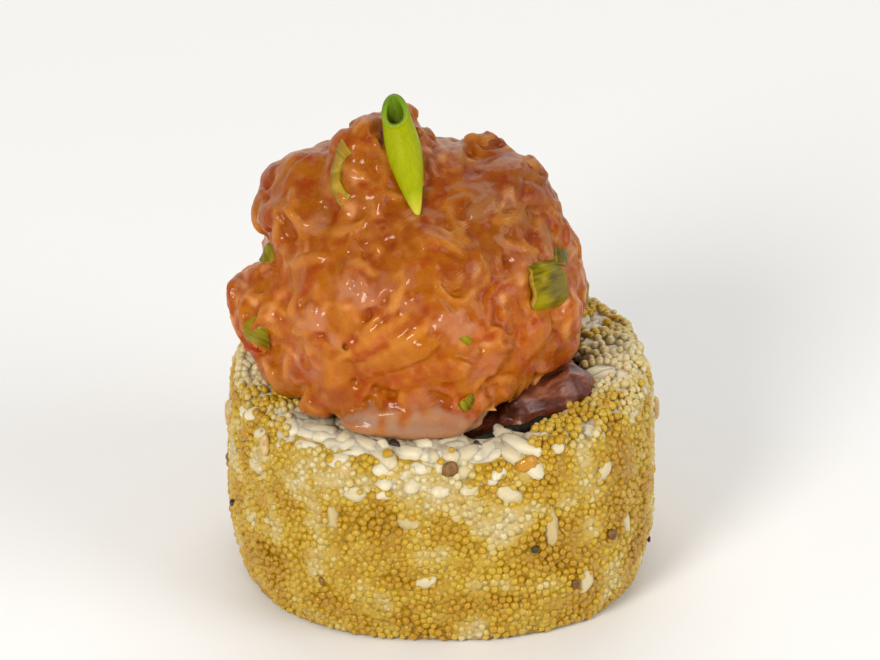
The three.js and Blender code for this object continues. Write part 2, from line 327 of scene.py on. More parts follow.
GRAIN_HALF = (2.5, 1.08, 0.88)
GRAIN_KINDS = 5
RICE_VOXEL = 0.55
RICE_SINK = 0.4  # the core lies this far under the grains' outer skin
RICE_LUMPS = 0.3
RICE_SPACING = 1.1
CLEAN_RIM = math.radians(-101)  # the middle of the rim's part that is clean of roe
CLEAN_FADES = (0.58, 0.86)  # how far to either side roe begins, and covers it, in radians
TOP_RING, FOOT_RING = (15.0, 21.0), (17, 18.3)  # where grains lie on the two cut faces, as radii
WALL_HEIGHTS = (1.2, 20.6)
LEVEL_MIDDLE, LEVEL_HALF = math.radians(-138), 0.35  # the grains beside the mound's left foot lie level
LEVEL_RADIUS, LEVEL_HEIGHT = 17.4, 21.9
FOOT_GRAIN = 2.3  # the grains that the knife cut through, on the lower cut face
FOOT_CREASE = 0.4
RICE_REACH = 21.3  # no grain reaches further out than this


def tree_of(node):
    """A CAD node's surface, for rays."""
    bm = cad_copy(node)
    tree = BVHTree.FromBMesh(bm)
    bm.free()
    return tree


def spoke(angle, radius=1.0, height=0.0):
    """A point at an angle in radians round the roll's axis."""
    return Vector((radius * math.cos(angle), radius * math.sin(angle), height))


def from_outside(tree, outward, height):
    """Where a level ray towards the roll's axis meets a surface, and the surface's normal."""
    return tree.ray_cast(outward * 40 + Vector((0, 0, height)), -outward)[:2]


def from_above(tree, start):
    """Where a ray straight down meets a surface, and the surface's normal."""
    return tree.ray_cast(start, DOWN)[:2]


def give(mesh, name, values, kind="FLOAT", field="value"):
    """Gives each point of a mesh a value that its material reads."""
    mesh.attributes.new(name, kind, "POINT").data.foreach_set(field, values)


def shape_of(bm):
    """A shape to be repeated: its points, and its faces as lists of point numbers."""
    bm.verts.index_update()
    points = np.array([vert.co[:] for vert in bm.verts])
    faces = [[vert.index for vert in face.verts] for face in bm.faces]
    bm.free()
    return points, faces


def joined(name, shapes, places):
    """One mesh of many shapes. A place is a shape's number, a matrix and a tone from 0 to 1."""
    points, faces, tones, start = [], [], [], 0
    for kind, matrix, tone in places:
        own_points, own_faces = shapes[kind]
        turn = np.array(matrix.to_3x3())
        points.append(own_points @ turn.T + np.array(matrix.translation))
        faces.extend([start + index for index in face] for face in own_faces)
        tones.append(np.full(len(own_points), tone))
        start += len(own_points)
    mesh = bpy.data.meshes.new(name)
    mesh.from_pydata(np.concatenate(points).tolist(), [], faces)
    give(mesh, "tone", np.concatenate(tones))
    return mesh


def lying(location, normal, heading, tilt_x=0.0, tilt_y=0.0, size=(1, 1, 1)):
    """A matrix that lays a shape on a surface: its Z along the normal, its X turned to a heading."""
    turn = normal.to_track_quat("Z", "Y").to_matrix() @ Euler((tilt_x, tilt_y, heading)).to_matrix()
    return Matrix.Translation(location) @ turn.to_4x4() @ Matrix.Diagonal((*size, 1))


def spread(draw, tries, spacing):
    """Keeps each drawn spot that is no nearer than spacing to one kept before."""
    kept, cells = [], {}
    for _ in range(tries):
        spot = draw()
        if spot is None:
            continue
        cell = tuple(int(value // spacing) for value in spot[0])
        around = (cells.get((cell[0] + i, cell[1] + j, cell[2] + k), ())
                  for i in (-1, 0, 1) for j in (-1, 0, 1) for k in (-1, 0, 1))
        if any((spot[0] - other).length < spacing for group in around for other in group):
            continue
        cells.setdefault(cell, []).append(spot[0])
        kept.append(spot)
    return kept


def make_grain(rng):
    """A short grain: blunt at both ends, a little bent, and plumper at one end."""
    bm = bmesh.new()
    bmesh.ops.create_uvsphere(bm, u_segments=8, v_segments=7, radius=1)
    bmesh.ops.rotate(bm, verts=bm.verts, cent=(0, 0, 0), matrix=Matrix.Rotation(math.pi / 2, 3, "Y"))
    bend = rng.uniform(0.1, 0.5)
    taper = rng.uniform(-0.12, 0.12)
    offset = Vector((rng.uniform(0, 50), 0, 0))
    for vert in bm.verts:
        along = vert.co.x
        if abs(along) < 0.99:
            blunt = (1 - abs(along) ** 2.8) ** 0.45 / math.sqrt(1 - along * along)
            vert.co.yz *= blunt * (1 + taper * along)
    bmesh.ops.scale(bm, vec=GRAIN_HALF, verts=bm.verts)
    for vert in bm.verts:
        vert.co *= 1 + 0.22 * noise.noise(vert.co * 0.9 + offset)
        vert.co.y += bend * (vert.co.x / GRAIN_HALF[0]) ** 2
    return shape_of(bm)


def cooked_rice(name, lit, shade):
    material, shader = new_material(
        name, Roughness=0.42, Subsurface_Weight=0.4, Subsurface_Radius=(1.0, 0.85, 0.6),
        Subsurface_Scale=1.3 * MM, Specular_IOR_Level=0.35,
    )
    tone = attribute(material, "tone").outputs["Fac"]
    cloud = speckle(material, 2.4)
    mix = summed(material, tone, 0.7, cloud, 0.35)
    feed(shader, "Base Color", ramp(material, mix, (0.15, shade), (0.75, lit)))
    bumped(material, shader, speckle(material, 0.5), 0.05)
    return material


rice_tree = tree_of("rice")
rng = random.Random(11)

bm = remeshed(cad_copy("rice"), RICE_VOXEL)
tones = []
for vert in bm.verts:
    radial = Vector((vert.co.x, vert.co.y, 0)).normalized()
    showing = max(0.0, vert.normal.z) + max(0.0, vert.normal.dot(radial))
    lump = RICE_LUMPS * noise.noise(vert.co / 1.4)
    crease = 0.0
    if vert.normal.z < -0.5:
        first, second = noise.voronoi(vert.co / FOOT_GRAIN)[0][:2]
        crease = FOOT_CREASE * (1 - smoothstep(0.0, 0.35, second - first))
    vert.co -= vert.normal * min(1.0, showing) * (RICE_SINK + lump)
    vert.co.z = max(vert.co.z, PLATE_GAP + crease)
    # The creases are coloured darker as well: painted shade between the cut grains.
    tones.append(0.4 - crease)
core = mesh_of("rice_core", bm)
give(core, "tone", tones)
packed = cooked_rice("rice_packed", paint(214, 200, 172), paint(198, 180, 146))
add_mesh("rice_core", core, [packed], ["rice"])


def clean_rim(angle):
    """1 at the front, where the cut face is clean rice right to its edge, and 0 elsewhere."""
    return 1 - smoothstep(*CLEAN_FADES, angle_between(angle, CLEAN_RIM))


def spot_in_ring(inner, outer):
    """A random angle and radius, evenly spread over a flat ring."""
    angle = rng.uniform(-math.pi, math.pi)
    return angle, math.sqrt(rng.uniform(inner ** 2, outer ** 2))


def grain_on_top():
    angle, radius = spot_in_ring(*TOP_RING)
    start = spoke(angle, radius, 40)
    if angle_between(angle, LEVEL_MIDDLE) < LEVEL_HALF and radius < LEVEL_RADIUS:
        return (Vector((start.x, start.y, LEVEL_HEIGHT)), UP)
    place, normal = from_above(rice_tree, start)
    lowest = 20.4 - 2.4 * clean_rim(angle)  # elsewhere no grain pokes out through the roe
    return (place, (normal + 3 * UP).normalized()) if place and place.z > lowest else None


def grain_on_wall():
    angle = rng.uniform(-math.pi, math.pi)
    outward = spoke(angle)
    place, normal = from_outside(rice_tree, outward, rng.uniform(*WALL_HEIGHTS))
    if not place:
        return None
    return (place - outward * (0.4 * smoothstep(18, 20.5, place.z) + 0.35 * (1 - clean_rim(angle))), normal)


def grain_on_foot():
    return (spoke(*spot_in_ring(*FOOT_RING), 0.9), DOWN)


places = []
for draw, count, spacing, sink in (
    (grain_on_top, 7000, RICE_SPACING, 0.42), (grain_on_wall, 6000, RICE_SPACING + 0.5, 0.3),
    (grain_on_foot, 700, 2.0, 0.2),
):
    for place, normal in spread(draw, count, spacing):
        size = [rng.uniform(0.86, 1.1) for _ in range(3)]
        heading = rng.uniform(0, math.pi)
        place = place - normal * (sink + rng.uniform(-0.1, 0.3))
        tilts = rng.gauss(0, 0.1), rng.gauss(0, 0.1)
        matrix = lying(place, normal, heading, *tilts, size)
        ends = [matrix @ Vector((end, 0, 0)) for end in (-GRAIN_HALF[0], GRAIN_HALF[0])]
        if max(end.xy.length for end in ends) > RICE_REACH:
            matrix = lying(place, normal, heading + math.pi / 2, *tilts, size)
        places.append((rng.randrange(GRAIN_KINDS), matrix, rng.random()))
grains = joined("rice_grains", [make_grain(rng) for _ in range(GRAIN_KINDS)], places)
for vert in grains.vertices:
    vert.co.z = max(vert.co.z, PLATE_GAP)
bm = bmesh.new()
bm.from_mesh(grains)
grain_tree = BVHTree.FromBMesh(bm)
bm.free()
separate = cooked_rice("rice_grain", paint(214, 202, 172), paint(198, 180, 144))
add_mesh("rice_grains", grains, [separate])

# ---------------------------------------------------------------------------------------------------
# Roe coat: fish eggs, each about a millimetre across, that the roll was turned in so that they stuck
# to the rice. A bed stands for the eggs that are pressed in, and loose eggs lie all over it. The coat
# is thin in places, where rice shows through, and its upper edge is uneven.
# ---------------------------------------------------------------------------------------------------

EGG_RADIUS = (0.34, 0.56)
EGG_SPACING = 0.64
EGG_HEIGHTS = (0.5, 21.45)
PALE_ABOVE, AMBER_BELOW = 0.34, -0.25  # an egg's kind follows from how thick the roe lies there
KIND_SCATTER = 0.13
WALL_TRIES = 60000
RIM_TRIES = 16000
COAT_FOOT, COAT_TOP = 0.3, 21.5
BED_SINK = 0.38
BED_STEPS = 240
BED_ROWS = 40
BARE_SINK = 0.55
COAT_SHADE_FROM, COAT_SHADE_TO = 7, 20  # painted shade: the roe is darker low down and paler up high, between these heights
COAT_EDGE = 21.6  # the height of its upper edge
COAT_EDGE_LOWER = 0.9  # how much lower it ends where the rim is clean
COAT_EDGE_UNEVEN = 0.7
LIGHTENED_RIM = math.radians(5)  # the middle of the rim's part that the mound shades, where more rice shows and the eggs are painted paler as painted light
LIGHTENED_FADES = (0.3, 0.7)
# Where a grain of rice shows: angle in degrees, height, and half the width and height of the bare spot.
BARE_PATCHES = (
    (-60, 13.2, 0.9, 2.9), (-45, 17.6, 1.5, 1.4), (-99, 14.4, 1.3, 0.9), (-84, 20.0, 1.3, 1.2),
    (-71, 17.3, 1.9, 0.9), (-119, 13.8, 1.0, 1.9), (-36, 10.5, 1.0, 1.7), (-146, 16.2, 1.7, 1.0),
    (-94, 7.5, 1.2, 0.8), (-113, 17.2, 1.5, 0.9), (-50, 6.0, 0.9, 1.3), (-15, 13.5, 1.2, 1.8),
    (8, 17.8, 2.0, 1.0), (30, 9.0, 1.0, 2.0), (51, 15.0, 2.1, 1.1), (74, 6.5, 1.4, 1.0),
    (93, 18.2, 1.1, 1.9), (118, 11.0, 2.0, 1.0), (141, 16.5, 1.0, 2.2), (163, 8.5, 1.6, 1.0),
    (-170, 18.0, 2.1, 1.0), (-158, 5.5, 1.0, 1.4), (22, 3.8, 1.5, 0.9), (108, 4.2, 1.0, 1.5),
)

coat_tree = tree_of("roe_coat")


def blotch(place):
    """Cream, about 1, where rice glows through the roe, and deep gold, about -1, where it lies thick."""
    # Painted shade: darker towards the foot, paler towards the top.
    painted_shade_by_height = 0.15 * (2 * smoothstep(COAT_SHADE_FROM, COAT_SHADE_TO, place.z) - 1)
    broad = 1.5 * noise.noise(place / 4.2 + Vector((9, 0, 0)))
    return broad + 0.7 * noise.noise(place / 1.5) + painted_shade_by_height - 0.14


def lightened_rim(angle):
    """1 at the right-hand back, where the mound shades the rim, more of the cut face shows through the roe
    and the eggs are painted paler as painted light, and 0 elsewhere.
    """
    return 1 - smoothstep(*LIGHTENED_FADES, angle_between(angle, LIGHTENED_RIM))


def bare(place):
    """How bare of roe a spot on the roll is, from 0 to 1."""
    angle = math.atan2(place.y, place.x)
    radius = math.hypot(place.x, place.y)
    worst = 0.0
    wobble = 0.35 * noise.noise(place / 1.3)
    for degrees, height, half_width, half_height in BARE_PATCHES:
        sideways = angle_between(angle, math.radians(degrees)) * radius / half_width
        distance = math.hypot(sideways, (place.z - height) / half_height)
        worst = max(worst, 1 - smoothstep(0.55, 1.05, distance + wobble))
    uneven = COAT_EDGE_UNEVEN * noise.noise(Vector((place.x, place.y, 7)) / 2.2)
    edge = COAT_EDGE - COAT_EDGE_LOWER * clean_rim(angle) + uneven
    return max(worst, smoothstep(edge - 0.2, edge + 0.4, place.z))


def roe(name, *stops, pressed=False):
    """The skin of the eggs, with small domes where they are pressed into the bed."""
    material, shader = new_material(
        name, Roughness=0.3, Subsurface_Weight=0.4, Subsurface_Radius=(1.0, 0.65, 0.2),
        Subsurface_Scale=0.8 * MM, Specular_IOR_Level=0.4, Coat_Weight=0.2, Coat_Roughness=0.12,
    )
    feed(shader, "Base Color", ramp(material, attribute(material, "tone").outputs["Fac"], *stops))
    if not pressed:
        bumped(material, shader, speckle(material, 0.35), 0.04)
        return material
    domes = add_node(material, "ShaderNodeTexVoronoi", {
        "Vector": object_place(material), "Scale": 1 / (0.95 * MM),
    }).outputs["Distance"]
    bumped(material, shader, ramp(material, domes, (0.0, 1.0), (0.25, 0.85), (0.6, 0.0)), 0.3)
    return material


def turned(bm, profile, steps):
    """Turns a closed profile of radii and heights round Z."""
    corners = [bm.verts.new((radius, 0, height)) for radius, height in profile]
    for first, second in zip(corners, corners[1:] + corners[:1]):
        bm.edges.new((first, second))
    bmesh.ops.spin(bm, geom=bm.verts[:] + bm.edges[:], cent=(0, 0, 0), axis=(0, 0, 1), dvec=(0, 0, 0),
                   angle=2 * math.pi, steps=steps, use_merge=True)
    bmesh.ops.remove_doubles(bm, verts=bm.verts, dist=0.001)


bm = bmesh.new()
coat_heights = [COAT_FOOT + (COAT_TOP - COAT_FOOT) * row / BED_ROWS for row in range(BED_ROWS + 1)]
turned(bm, [(22, height) for height in coat_heights]
       + [(20.4, height) for height in (COAT_TOP, 14, 7, COAT_FOOT)], BED_STEPS)
for vert in bm.verts:
    outward = Vector((vert.co.x, vert.co.y, 0)).normalized()
    height = Vector((0, 0, min(21.4, max(0.4, vert.co.z))))
    if vert.co.xy.length > 21:
        place, _, _, _ = coat_tree.ray_cast(outward * 40 + height, -outward)
        sink = BED_SINK + 0.25 * noise.noise(vert.co / 0.9) - 0.16 * blotch(vert.co)
        place = place - outward * (sink + BARE_SINK * bare(place))
    else:
        place, _, _, _ = coat_tree.ray_cast(height, outward)
        place = place - outward * 0.5
    vert.co.xy = place.xy
bmesh.ops.recalc_face_normals(bm, faces=bm.faces)
bed = mesh_of("roe_bed", bm)
give(bed, "tone", [0.5 + 0.55 * blotch(vert.co) for vert in bed.vertices])
add_mesh("roe_bed", bed, [roe(
    "roe_pressed", (0.0, paint(164, 122, 6)), (0.5, paint(182, 145, 34)), (1.0, paint(192, 169, 112)),
    pressed=True,
)], ["roe_coat"])

rng = random.Random(5)


def egg_on_wall():
    outward = spoke(rng.uniform(-math.pi, math.pi))
    place, _ = from_outside(coat_tree, outward, rng.uniform(*EGG_HEIGHTS))
    if not place or rng.random() < bare(place):
        return None
    return (place, outward)


def egg_on_rim():
    """Eggs that went over the edge onto the cut face, all round but for its clean part."""
    angle = rng.uniform(-math.pi, math.pi)
    clean = clean_rim(angle)
    inward = abs(rng.gauss(0, 0.35 + (0.9 if rng.random() < 0.4 else 3.6) * (1 - clean)))
    if rng.random() < 0.99 * clean + 0.05 * inward + 0.25 * lightened_rim(angle) * smoothstep(0.5, 2, inward):
        return None
    outward = spoke(angle)
    rim, _ = from_outside(coat_tree, outward, 21.3)
    start = rim - outward * (0.5 + inward)
    above = Vector((start.x, start.y, 40))
    place, normal = from_above(grain_tree, above)
    under, slope = from_above(rice_tree, above)
    if under and (not place or place.z < under.z - 0.45):
        place, normal = under - Vector((0, 0, 0.45)), slope
    if not place or place.z < 19.5:
        return None
    patchy = noise.noise(place / 2.4 + Vector((3, 0, 0)))
    if patchy < -0.12 - 0.5 * (1 - clean) * (1 - smoothstep(0.2, 1.8, inward)):
        return None
    upward = (normal + 1.5 * UP + outward * 0.4).normalized()
    return (place + upward * 0.8, upward)


bm = bmesh.new()
bmesh.ops.create_uvsphere(bm, u_segments=8, v_segments=6, radius=1)
egg = shape_of(bm)
eggs = {"golden": [], "amber": [], "pale": []}
spots = spread(egg_on_wall, WALL_TRIES, EGG_SPACING) + spread(egg_on_rim, RIM_TRIES, EGG_SPACING)
for place, outward in spots:
    radius = rng.uniform(*EGG_RADIUS)
    sink = radius * 0.85 + 0.22 * (1 + noise.noise(place / 2.6)) * rng.uniform(0.5, 1.3)
    middle = place - outward * sink
    middle.z = max(middle.z, radius * 1.16)
    size = [radius * rng.uniform(0.88, 1.12) for _ in range(3)]
    # Painted light: eggs at the top of the rim are paler, and most of all where the mound shades it.
    cloud = blotch(place) + 0.35 * smoothstep(20.5, 21.8, place.z)
    cloud += 0.3 * lightened_rim(math.atan2(place.y, place.x)) * smoothstep(17, 21, place.z)
    kind = "golden"
    if cloud + rng.gauss(0, KIND_SCATTER) > PALE_ABOVE:
        kind = "pale"
    elif cloud + rng.gauss(0, KIND_SCATTER) < AMBER_BELOW:
        kind = "amber"
    tone = 0.5 + 0.5 * cloud + rng.uniform(-0.09, 0.09)
    matrix = lying(middle, outward, rng.uniform(0, math.pi), size=size)
    eggs[kind].append((0, matrix, min(1.0, max(0.0, tone))))
for kind, stops in (
    ("golden", ((0.05, paint(176, 137, 6)), (0.5, paint(184, 150, 30)), (0.95, paint(190, 162, 76)))),
    ("amber", ((0.0, paint(166, 123, 0)), (0.25, paint(175, 134, 6)), (0.8, paint(182, 145, 22)))),
    ("pale", ((0.5, paint(188, 161, 76)), (0.8, paint(195, 173, 107)), (1.0, paint(201, 186, 142)))),
):
    name = "roe_eggs_" + kind
    add_mesh(name, joined(name, [egg], eggs[kind]), [roe("roe_" + kind, *stops)])

# A grain of rice stands out between the eggs in each bare spot.
rng = random.Random(8)
places = []
for degrees, height, half_width, half_height in BARE_PATCHES:
    outward = spoke(math.radians(degrees))
    place, _ = from_outside(coat_tree, outward, height)
    upright = math.pi / 2 if half_height > half_width else 0
    length = max(half_width, half_height) / GRAIN_HALF[0]
    heading = upright + rng.gauss(0, 0.25)
    size = (max(0.6, length), rng.uniform(0.75, 1.0), rng.uniform(0.85, 1.0))
    matrix = lying(place - outward, outward, heading, size=size)
    places.append((rng.randrange(GRAIN_KINDS), matrix, rng.random()))
shown = joined("rice_showing", [make_grain(rng) for _ in range(GRAIN_KINDS)], places)
stained = cooked_rice("rice_stained", paint(202, 188, 150), paint(188, 166, 110))
add_mesh("rice_showing", shown, [stained])

# ---------------------------------------------------------------------------------------------------
# Seeds and specks: a few toasted sesame seeds, dark flecks of seaweed, brown flecks of chilli and drops
# of amber sauce, which the sticky rice and roe picked up from the board. A few dark marks on the cut face
# are partly painted shade.
# ---------------------------------------------------------------------------------------------------

SESAME_HALF = (1.5, 0.95, 0.45)
# Where each kind lies: angle in degrees, height and size in millimetres.
SESAME = (
    (-141.5, 19.6, 0.9), (-5, 17.5, 0.9), (62, 14.2, 1.0), (131, 6.4, 0.95), (176, 15.0, 1.0),
    (95, 20.0, 0.9),
)
DARK_FLECKS = (
    (-65.4, 11.2, 0.42), (-20, 5.2, 0.3), (38, 18.4, 0.4), (84, 9.6, 0.45), (148, 12.4, 0.35),
    (-163, 8.8, 0.4),
)
BROWN_FLECKS = (
    (-87.4, 20.6, 0.85), (-42.6, 10.3, 0.6), (-54, 6.1, 0.55), (-122, 6.6, 0.4), (12, 11.8, 0.6),
    (70, 4.4, 0.5), (112, 16.6, 0.7), (160, 4.2, 0.5), (-175, 11.6, 0.55),
)
DROPS = ((-66.5, 20.6, 1.15), (-152, 19.0, 0.7), (47, 19.8, 0.9), (124, 20.2, 1.0))
# And on the cut face, dark marks where the nori's edge and the shade between the grains show: angle, radius
# and size. They are partly painted shade.
TOP_SHADE_FLECKS = ((-78.7, 19.4, 0.4), (-117.8, 17.2, 0.9), (-103.7, 19.4, 0.6))
FLECK_KINDS = 4


def on_coat(degrees, height, sink):
    """A spot on the roe coat and the way out of it."""
    outward = spoke(math.radians(degrees))
    return from_outside(coat_tree, outward, height)[0] - outward * sink, outward


def make_seed():
    """A sesame seed, pointed at one end, with a raised rim."""
    bm = bmesh.new()
    bmesh.ops.create_uvsphere(bm, u_segments=20, v_segments=12, radius=1)
    for vert in bm.verts:
        rim = math.exp(-((vert.co.xy.length - 0.8) / 0.12) ** 2)
        vert.co.z *= 1 + 0.35 * rim
        vert.co.y *= 1 - 0.42 * smoothstep(-0.4, 1, vert.co.x)
    bmesh.ops.scale(bm, vec=SESAME_HALF, verts=bm.verts)
    return shape_of(bm)


def make_fleck(rng):
    bm = bmesh.new()
    bmesh.ops.create_icosphere(bm, subdivisions=2, radius=1)
    offset = Vector((rng.uniform(0, 50), 0, 0))
    for vert in bm.verts:
        vert.co *= 1 + 0.5 * noise.noise(vert.co * 1.2 + offset)
    bmesh.ops.scale(bm, vec=(1.1, 0.9, 0.5), verts=bm.verts)
    return shape_of(bm)


def dry_skin(name, dark, lit, gloss):
    material, shader = new_material(name, Roughness=gloss, Subsurface_Weight=0.1, Subsurface_Scale=0.5 * MM)
    feed(shader, "Base Color", ramp(material, speckle(material, 0.6, 3.0), (0.35, dark), (0.65, lit)))
    bumped(material, shader, speckle(material, 0.3, 3.0), 0.06)
    return material


rng = random.Random(17)
flecks = [make_fleck(rng) for _ in range(FLECK_KINDS)]
for name, spots, sink, skin, dark, lit, gloss in (
    ("flecks_dark", DARK_FLECKS, 0.05, "seaweed_fleck_and_shade", paint(26, 22, 12), paint(58, 46, 22), 0.5),
    ("flecks_brown", BROWN_FLECKS, 0.15, "chilli_fleck", paint(92, 58, 14), paint(138, 94, 28), 0.5),
    ("sauce_drops", DROPS, 0.2, "amber_sauce", paint(176, 116, 4), paint(190, 138, 20), 0.15),
):
    places = []
    for degrees, height, size in spots:
        place, outward = on_coat(degrees, height, sink)
        kind = rng.randrange(FLECK_KINDS)
        places.append((kind, lying(place, outward, rng.uniform(0, 6), size=(size,) * 3), 0))
    if name == "flecks_dark":
        # Dark marks on the cut face: partly the nori's edge, partly painted shade between the grains.
        for degrees, radius, size in TOP_SHADE_FLECKS:
            spot = spoke(math.radians(degrees), radius, 40)
            place = from_above(rice_tree, spot)[0] or Vector((spot.x, spot.y, 22))
            matrix = lying(place + Vector((0, 0, 0.45)), UP, 2.2, size=(size * 1.2, size * 0.7, size))
            places.append((1, matrix, 0))
    add_mesh(name, joined(name, flecks, places), [dry_skin(skin, dark, lit, gloss)])
places = []
for degrees, height, size in SESAME:
    place, outward = on_coat(degrees, height, 0.15)
    heading, tilts = rng.uniform(1.2, 2.0), (rng.gauss(0, 0.1), rng.gauss(0, 0.1))
    places.append((0, lying(place, outward, heading, *tilts, (size,) * 3), 0))
sesame = dry_skin("sesame_seed", paint(176, 140, 78), paint(206, 176, 116), 0.35)
add_mesh("sesame_seeds", joined("sesame_seeds", [make_seed()], places), [sesame])

# ---------------------------------------------------------------------------------------------------
# Tartare mound: raw tuna chopped into uneven bits, stirred with an orange chilli sauce and set on the
# rice as a ball. The bits are pressed together, the sauce gathers between them and glazes them all.
# ---------------------------------------------------------------------------------------------------

MOUND_VOXEL = 0.25
MOUND_CORE_VOXEL = 0.8
MOUND_MIDDLE = Vector((-2.2, -1.5, 31))
MOUND_CALMING = 9  # rounds of smoothing, which take the facets off it
MOUND_SWELL = 0.25  # and what makes up for its loss of bulk
MOUND_CORE_SINK = 0.3
MOUND_REST = 21.7  # where it settles into the rice
BITS_ABOVE = 22.8  # no separate bit lies lower
BITS_OVERHANG = -0.55  # or where the heap's skin faces further down than this
MOUND_TOP_PAINTED_SHADE = 0.2  # painted shade, darker on top
MOUND_RIGHT_PAINTED_SHADE = 0.14  # more painted shade at the right of the top
MOUND_FOOT_PAINTED_SHADE = 0.2  # and painted shade at the foot
# Where the heap is fuller, or drawn in: middle, reach and height.
MOUND_BULGES = (
    (Vector((-14.5, 2, 43)), 7, 0.6), (Vector((-9, -14, 25)), 5, 1.0),
    (Vector((11.5, 4.4, 42.0)), 7.5, -2.4), (Vector((-9.6, 0.5, 49)), 5.5, -2.2),
    (Vector((-20.5, -1.5, 36.5)), 7.5, -2.6), (Vector((15, 2, 33)), 6, -1.1),
)
CHUNK_KINDS = 14
CHUNK_COUNT = 260
CHUNK_HALF = ((2.0, 3.8), (1.4, 2.4), (0.8, 1.2))
SHRED_COUNT = 420
SHRED_HALF = ((1.2, 2.6), (0.6, 1.1), (0.4, 0.6))
STRING_COUNT = 900
STRING_RADIUS = (0.26, 0.44)
STRING_HALF_LENGTH = (1.2, 3.2)
STRING_STEPS = 60
SINEW_COUNT = 520
SINEW_SIZE = ((0.3, 0.6), (0.6, 1.0), (0.5, 0.8))  # shares of a string's size
FRONT_VIEW_ANGLE = math.radians(27)  # how steeply one looks down on the roll from in front
FRONT_VIEW = Vector((0, math.cos(FRONT_VIEW_ANGLE), -math.sin(FRONT_VIEW_ANGLE)))
FRONT_MIDDLE = Vector((0, -1.5, 33))  # what is 0 across and 0 up, as seen from there


def flesh(red, green, blue, soaks):
    """A bit's colour, and how readily the sauce covers it."""
    return (*paint(red, green, blue)[:3], soaks)


# The bits' colours and how many of a hundred have each, from thick with sauce to bare flesh.
BIT_COLOURS = (
    (22, flesh(140, 54, 0, 1)), (30, flesh(160, 80, 0, 1)), (22, flesh(162, 84, 10, 0.9)),
    (12, flesh(170, 92, 22, 0.6)), (8, flesh(178, 106, 46, 0.5)), (6, flesh(144, 62, 22, 0.6)),
)
STRING_COLOURS = (
    (20, flesh(142, 54, 0, 1)), (24, flesh(162, 82, 0, 0.8)), (22, flesh(182, 108, 30, 0.35)),
    (20, flesh(188, 116, 38, 0.15)), (10, flesh(198, 128, 56, 0.05)),
)
SINEW_COLOURS = (
    (50, flesh(216, 148, 88, 0)), (30, flesh(196, 112, 46, 0.05)), (20, flesh(146, 54, 6, 0.6)),
)
PALE, SAUCED, BARE = flesh(190, 116, 36, 0.1), flesh(158, 70, 0, 1), flesh(168, 128, 102, 0)
PEARL, PINK, ROSY = flesh(164, 108, 66, 0.15), flesh(176, 110, 72, 0), flesh(166, 92, 54, 0.05)

# Bits that stand out from the rest, as seen from in front and above: across, up, half sizes, heading in
# degrees and colour.
LARGE_BITS = (
    (-8.0, -7.8, (3.4, 0.45, 0.5), 36, PALE), (-5.6, -5.9, (3.2, 0.5, 0.5), 38, PALE),
    (-6.4, -7.4, (3.6, 0.5, 0.5), 36, SAUCED), (-4.4, -7.6, (4.2, 0.5, 0.5), 38, PALE),
    (-3.0, -8.4, (4.6, 0.9, 0.6), 34, SAUCED), (-1.2, -10.2, (4.6, 1.6, 0.8), 14, SAUCED),
    (-13.4, 9.6, (3.0, 1.8, 0.7), 70, SAUCED), (8.0, 2.3, (2.0, 0.5, 0.5), -30, PALE),
    (6.8, 5.2, (2.0, 0.5, 0.5), -10, PALE), (-13.2, 1.0, (2.6, 0.6, 0.6), 35, PALE),
    (-2.6, 0.6, (3.0, 1.6, 0.7), -20, SAUCED), (8.6, -7.5, (3.6, 1.6, 0.8), 40, SAUCED),
    (4.4, 6.4, (2.1, 0.9, 0.7), 35, PEARL), (1.9, 11.6, (1.8, 0.8, 0.6), 30, PEARL),
    (10.4, 3.0, (2.2, 0.9, 0.6), 60, PEARL), (-14.8, 5.4, (1.9, 0.45, 0.5), -35, PALE),
    (-12.4, 5.0, (1.7, 0.45, 0.5), 30, PALE), (0.4, 2.6, (2.2, 0.45, 0.5), -50, PALE),
    (6.6, 10.2, (2.8, 1.7, 0.7), -35, SAUCED), (9.8, 7.2, (2.4, 1.4, 0.7), -60, SAUCED),
    (-9.6, 12.6, (2.4, 1.5, 0.7), 20, SAUCED),
)
# Groups of small bare flecks of fish: across, up, how many, colour.
FLECK_GROUPS = (
    (-7.8, -3.2, 7, PINK), (2.1, -6.2, 7, PINK), (-11.9, -5.2, 5, PINK), (3.6, 7.0, 4, ROSY),
    (1.8, 11.6, 3, ROSY), (8.2, 1.6, 4, ROSY), (-13.0, 5.2, 4, PINK), (-3.6, -2.0, 4, ROSY),
    (5.6, -9.6, 4, ROSY), (-18.6, 0.4, 4, ROSY), (-1.0, -12.6, 4, ROSY), (-12.8, -10.2, 4, ROSY),
)
# One pale bit hangs over the rice in front: middle, half sizes.
LIP_MIDDLE, LIP_HALF = Vector((-2.6, -16.4, 23.8)), (6.8, 2.4, 1.9)


def make_chunk(rng, half_round, waviness, bend):
    """A cut bit of fish, 2 units long each way, with soft edges and an uneven skin."""
    bm = bmesh.new()
    bmesh.ops.create_cube(bm, size=2)
    bmesh.ops.subdivide_edges(bm, edges=bm.edges[:], cuts=5, use_grid_fill=True)
    offset = Vector([rng.uniform(-50, 50) for _ in range(3)])
    curve, sway = rng.uniform(-bend, bend), rng.uniform(-bend, bend)
    for vert in bm.verts:
        vert.co = vert.co.lerp(vert.co.normalized() * 1.1, half_round)
        waves = waviness * noise.noise(vert.co * 1.1 + offset)
        vert.co *= 1 + waves + 0.4 * waviness * noise.noise(vert.co * 2.6 - offset)
        along = vert.co.x
        vert.co.y += curve * (along * along - 0.4) + sway * math.sin(2.6 * along)
        vert.co.z += 0.5 * curve * math.sin(2 * along + sway)
    return shape_of(bm)


